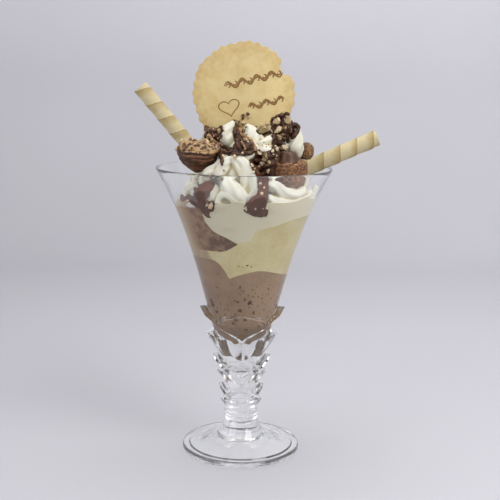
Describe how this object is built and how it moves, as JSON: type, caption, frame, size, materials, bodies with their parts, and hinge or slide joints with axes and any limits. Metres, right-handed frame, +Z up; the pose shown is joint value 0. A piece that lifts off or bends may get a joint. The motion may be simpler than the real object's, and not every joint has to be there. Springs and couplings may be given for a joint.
{
  "type": "ice cream coupe",
  "caption": "Tall footed dessert glass with layered ice cream, whipped cream, chocolate sauce, nuts, pralines and wafers.",
  "frame": {"origin": "centre of the foot's flat underside", "axes": "+Z up along the glass, -Y to the front, +X to the right seen from the front"},
  "size_m": [0.1652, 0.1188, 0.2812],
  "materials": {
    "glass": "clear pressed glass, polished",
    "chocolate_ice": "milk-chocolate ice cream, softly frosted",
    "vanilla_ice": "vanilla ice cream, smooth and pale yellow",
    "dark_ice": "darker grainy chocolate ice cream",
    "cream": "whipped cream, soft and matt, with chocolate sauce and chopped nuts",
    "wafer": "baked wafer, dry and matt",
    "rolled_wafer": "rolled wafer with spiral banding, dry and matt",
    "praline": "nutty chocolate praline, rough with a slight gloss",
    "cap": "smooth moulded chocolate",
    "cluster": "caramelised hazelnuts under chocolate drizzle"
  },
  "bodies": {
    "root": {"glass": "glass", "chocolate_ice_cream": "chocolate_ice", "vanilla_ice_cream": "vanilla_ice", "chocolate_scoop": "dark_ice", "whipped_cream": "cream", "wafer_disc": "wafer", "wafer_roll_left": "rolled_wafer", "wafer_roll_right": "rolled_wafer", "praline_left": "praline", "praline_right": "praline", "praline_small": "praline", "chocolate_cap": "cap", "nut_cluster": "cluster"}
  },
  "joints": []
}
